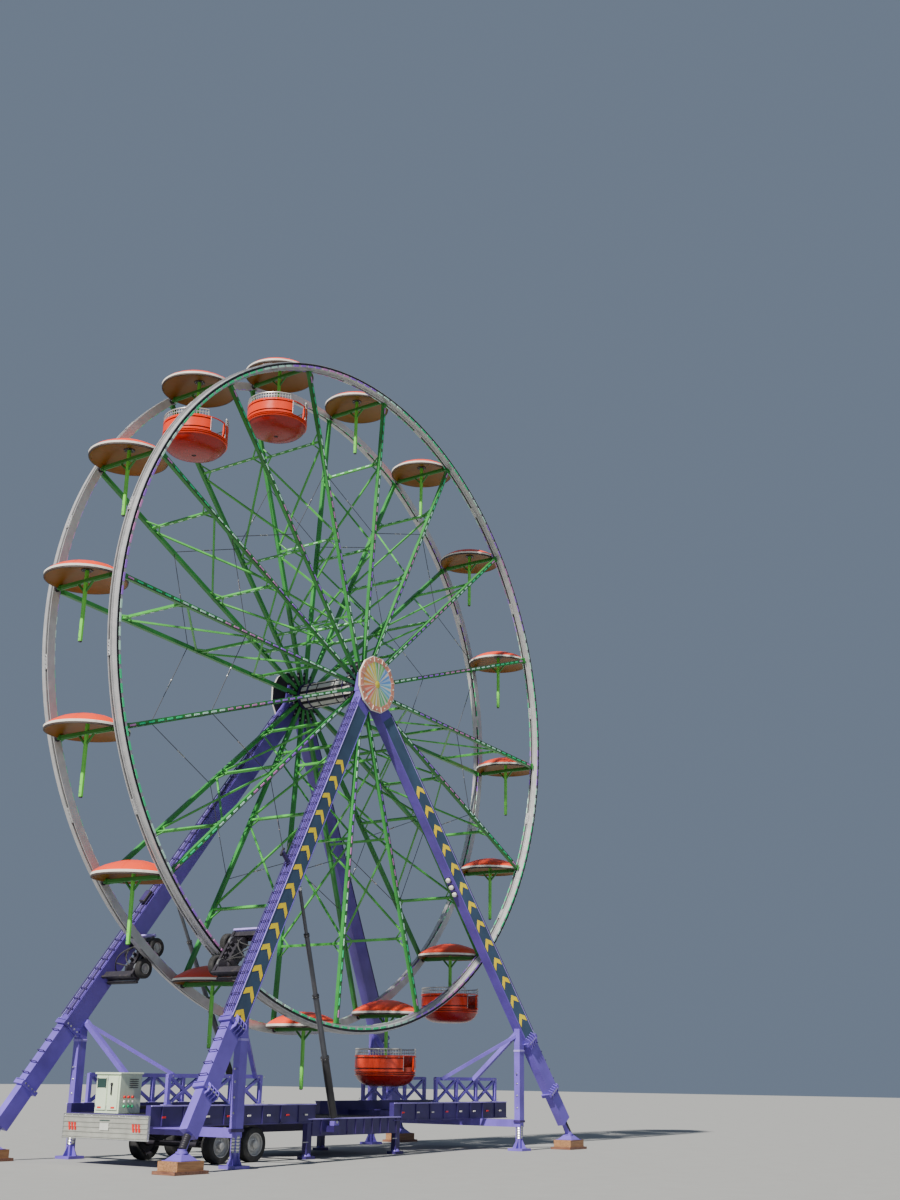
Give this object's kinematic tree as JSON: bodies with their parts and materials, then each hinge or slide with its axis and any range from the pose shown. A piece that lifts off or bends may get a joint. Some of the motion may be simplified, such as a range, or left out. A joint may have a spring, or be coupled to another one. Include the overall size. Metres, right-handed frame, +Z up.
{
  "type": "ferris wheel",
  "caption": "Portable fairground ferris wheel on a trailer: braced spokes between two rims, splayed box legs, umbrella canopies on level hangers, some with round tubs.",
  "frame": {"origin": "on the level floor midway between the four tower feet, below the wheel axis", "axes": "+X along the trailer in the wheel plane, tail at -X; +Y along the wheel axis from the near side to the far side; +Z up"},
  "size_m": [18.9918, 6.26, 20.4229],
  "materials": {
    "rim_steel": "weathered galvanised",
    "spoke_green": "gloss paint",
    "hub_grey": "satin paint",
    "canopy_orange": "gloss gel coat",
    "tub_orange": "gloss gel coat",
    "tower_purple": "gloss paint",
    "sign_face": "printed pastel sectors, no words",
    "drive_dark": "satin paint, oily",
    "drive_rubber": "worn rubber",
    "ram_grey": "satin grey stages",
    "trailer_purple": "satin paint",
    "tail_aluminium": "ribbed, dull",
    "cabinet_green": "pale satin paint",
    "axle_black": "dusty rubber and black steel"
  },
  "bodies": {
    "base": {"near_left_leg": "tower_purple", "near_right_leg": "tower_purple", "far_left_leg": "tower_purple", "far_right_leg": "tower_purple", "near_sign": "sign_face", "near_drive_unit": "drive_dark", "near_lift_ram": "ram_grey", "far_sign": "sign_face", "far_drive_unit": "drive_dark", "far_lift_ram": "ram_grey", "trailer_frame": "trailer_purple", "tail_board": "tail_aluminium", "electric_cabinet": "cabinet_green", "road_axles": "axle_black", "left_outriggers": "trailer_purple", "right_outriggers": "trailer_purple"},
    "wheel": {"near_rim": "rim_steel", "far_rim": "rim_steel", "hub_drum": "hub_grey", "spoke_frame_00": "spoke_green", "spoke_frame_01": "spoke_green", "spoke_frame_02": "spoke_green", "spoke_frame_03": "spoke_green", "spoke_frame_04": "spoke_green", "spoke_frame_05": "spoke_green", "spoke_frame_06": "spoke_green", "spoke_frame_07": "spoke_green", "spoke_frame_08": "spoke_green", "spoke_frame_09": "spoke_green", "spoke_frame_10": "spoke_green", "spoke_frame_11": "spoke_green", "spoke_frame_12": "spoke_green", "spoke_frame_13": "spoke_green", "spoke_frame_14": "spoke_green", "spoke_frame_15": "spoke_green"},
    "cabin_00": {"canopy_hanger_00": "canopy_orange"},
    "cabin_01": {"canopy_hanger_01": "canopy_orange"},
    "cabin_02": {"canopy_hanger_02": "canopy_orange", "tub_02": "tub_orange"},
    "cabin_03": {"canopy_hanger_03": "canopy_orange", "tub_03": "tub_orange"},
    "cabin_04": {"canopy_hanger_04": "canopy_orange"},
    "cabin_05": {"canopy_hanger_05": "canopy_orange"},
    "cabin_06": {"canopy_hanger_06": "canopy_orange"},
    "cabin_07": {"canopy_hanger_07": "canopy_orange"},
    "cabin_08": {"canopy_hanger_08": "canopy_orange"},
    "cabin_09": {"canopy_hanger_09": "canopy_orange"},
    "cabin_10": {"canopy_hanger_10": "canopy_orange", "tub_10": "tub_orange"},
    "cabin_11": {"canopy_hanger_11": "canopy_orange", "tub_11": "tub_orange"},
    "cabin_12": {"canopy_hanger_12": "canopy_orange"},
    "cabin_13": {"canopy_hanger_13": "canopy_orange"},
    "cabin_14": {"canopy_hanger_14": "canopy_orange"},
    "cabin_15": {"canopy_hanger_15": "canopy_orange"},
    "near_outer_tyre": {"near_outer_drive_tyre": "drive_rubber"},
    "near_inner_tyre": {"near_inner_drive_tyre": "drive_rubber"},
    "far_outer_tyre": {"far_outer_drive_tyre": "drive_rubber"},
    "far_inner_tyre": {"far_inner_drive_tyre": "drive_rubber"}
  },
  "joints": [
    {"name": "wheel_turn", "type": "hinge", "parent": "base", "child": "wheel", "pos_m": [0, 0, 11.44], "axis": [0, 1, 0], "continuous": true},
    {"name": "cabin_00_swing", "type": "hinge", "parent": "wheel", "child": "cabin_00", "pos_m": [-8.58093, 0, 12.01235], "axis": [0, 1, 0], "continuous": true},
    {"name": "cabin_01_swing", "type": "hinge", "parent": "wheel", "child": "cabin_01", "pos_m": [-7.70872, 0, 15.25257], "axis": [0, 1, 0], "continuous": true},
    {"name": "cabin_02_swing", "type": "hinge", "parent": "wheel", "child": "cabin_02", "pos_m": [-5.66292, 0, 17.91235], "axis": [0, 1, 0], "continuous": true},
    {"name": "cabin_03_swing", "type": "hinge", "parent": "wheel", "child": "cabin_03", "pos_m": [-2.755, 0, 19.58678], "axis": [0, 1, 0], "continuous": true},
    {"name": "cabin_04_swing", "type": "hinge", "parent": "wheel", "child": "cabin_04", "pos_m": [0.57235, 0, 20.02093], "axis": [0, 1, 0], "continuous": true},
    {"name": "cabin_05_swing", "type": "hinge", "parent": "wheel", "child": "cabin_05", "pos_m": [3.81257, 0, 19.14872], "axis": [0, 1, 0], "continuous": true},
    {"name": "cabin_06_swing", "type": "hinge", "parent": "wheel", "child": "cabin_06", "pos_m": [6.47235, 0, 17.10292], "axis": [0, 1, 0], "continuous": true},
    {"name": "cabin_07_swing", "type": "hinge", "parent": "wheel", "child": "cabin_07", "pos_m": [8.14678, 0, 14.195], "axis": [0, 1, 0], "continuous": true},
    {"name": "cabin_08_swing", "type": "hinge", "parent": "wheel", "child": "cabin_08", "pos_m": [8.58093, 0, 10.86765], "axis": [0, 1, 0], "continuous": true},
    {"name": "cabin_09_swing", "type": "hinge", "parent": "wheel", "child": "cabin_09", "pos_m": [7.70872, 0, 7.62744], "axis": [0, 1, 0], "continuous": true},
    {"name": "cabin_10_swing", "type": "hinge", "parent": "wheel", "child": "cabin_10", "pos_m": [5.66292, 0, 4.96765], "axis": [0, 1, 0], "continuous": true},
    {"name": "cabin_11_swing", "type": "hinge", "parent": "wheel", "child": "cabin_11", "pos_m": [2.755, 0, 3.29322], "axis": [0, 1, 0], "continuous": true},
    {"name": "cabin_12_swing", "type": "hinge", "parent": "wheel", "child": "cabin_12", "pos_m": [-0.57235, 0, 2.85907], "axis": [0, 1, 0], "continuous": true},
    {"name": "cabin_13_swing", "type": "hinge", "parent": "wheel", "child": "cabin_13", "pos_m": [-3.81257, 0, 3.73128], "axis": [0, 1, 0], "continuous": true},
    {"name": "cabin_14_swing", "type": "hinge", "parent": "wheel", "child": "cabin_14", "pos_m": [-6.47235, 0, 5.77708], "axis": [0, 1, 0], "continuous": true},
    {"name": "cabin_15_swing", "type": "hinge", "parent": "wheel", "child": "cabin_15", "pos_m": [-8.14678, 0, 8.685], "axis": [0, 1, 0], "continuous": true},
    {"name": "near_outer_tyre_spin", "type": "hinge", "parent": "base", "child": "near_outer_tyre", "pos_m": [-4.90265, -1.13, 4.02886], "axis": [0, 1, 0], "continuous": true},
    {"name": "near_inner_tyre_spin", "type": "hinge", "parent": "base", "child": "near_inner_tyre", "pos_m": [-4.58139, -1.13, 4.5145], "axis": [0, 1, 0], "continuous": true},
    {"name": "far_outer_tyre_spin", "type": "hinge", "parent": "base", "child": "far_outer_tyre", "pos_m": [-4.90265, 1.13, 4.02886], "axis": [0, 1, 0], "continuous": true},
    {"name": "far_inner_tyre_spin", "type": "hinge", "parent": "base", "child": "far_inner_tyre", "pos_m": [-4.58139, 1.13, 4.5145], "axis": [0, 1, 0], "continuous": true}
  ],
  "couplings": [
    {"joint": "cabin_00_swing", "follows": "wheel_turn", "ratio": -1},
    {"joint": "cabin_01_swing", "follows": "wheel_turn", "ratio": -1},
    {"joint": "cabin_02_swing", "follows": "wheel_turn", "ratio": -1},
    {"joint": "cabin_03_swing", "follows": "wheel_turn", "ratio": -1},
    {"joint": "cabin_04_swing", "follows": "wheel_turn", "ratio": -1},
    {"joint": "cabin_05_swing", "follows": "wheel_turn", "ratio": -1},
    {"joint": "cabin_06_swing", "follows": "wheel_turn", "ratio": -1},
    {"joint": "cabin_07_swing", "follows": "wheel_turn", "ratio": -1},
    {"joint": "cabin_08_swing", "follows": "wheel_turn", "ratio": -1},
    {"joint": "cabin_09_swing", "follows": "wheel_turn", "ratio": -1},
    {"joint": "cabin_10_swing", "follows": "wheel_turn", "ratio": -1},
    {"joint": "cabin_11_swing", "follows": "wheel_turn", "ratio": -1},
    {"joint": "cabin_12_swing", "follows": "wheel_turn", "ratio": -1},
    {"joint": "cabin_13_swing", "follows": "wheel_turn", "ratio": -1},
    {"joint": "cabin_14_swing", "follows": "wheel_turn", "ratio": -1},
    {"joint": "cabin_15_swing", "follows": "wheel_turn", "ratio": -1},
    {"joint": "near_outer_tyre_spin", "follows": "wheel_turn", "ratio": -39.364},
    {"joint": "near_inner_tyre_spin", "follows": "wheel_turn", "ratio": 38.818},
    {"joint": "far_outer_tyre_spin", "follows": "wheel_turn", "ratio": -39.364},
    {"joint": "far_inner_tyre_spin", "follows": "wheel_turn", "ratio": 38.818}
  ]
}
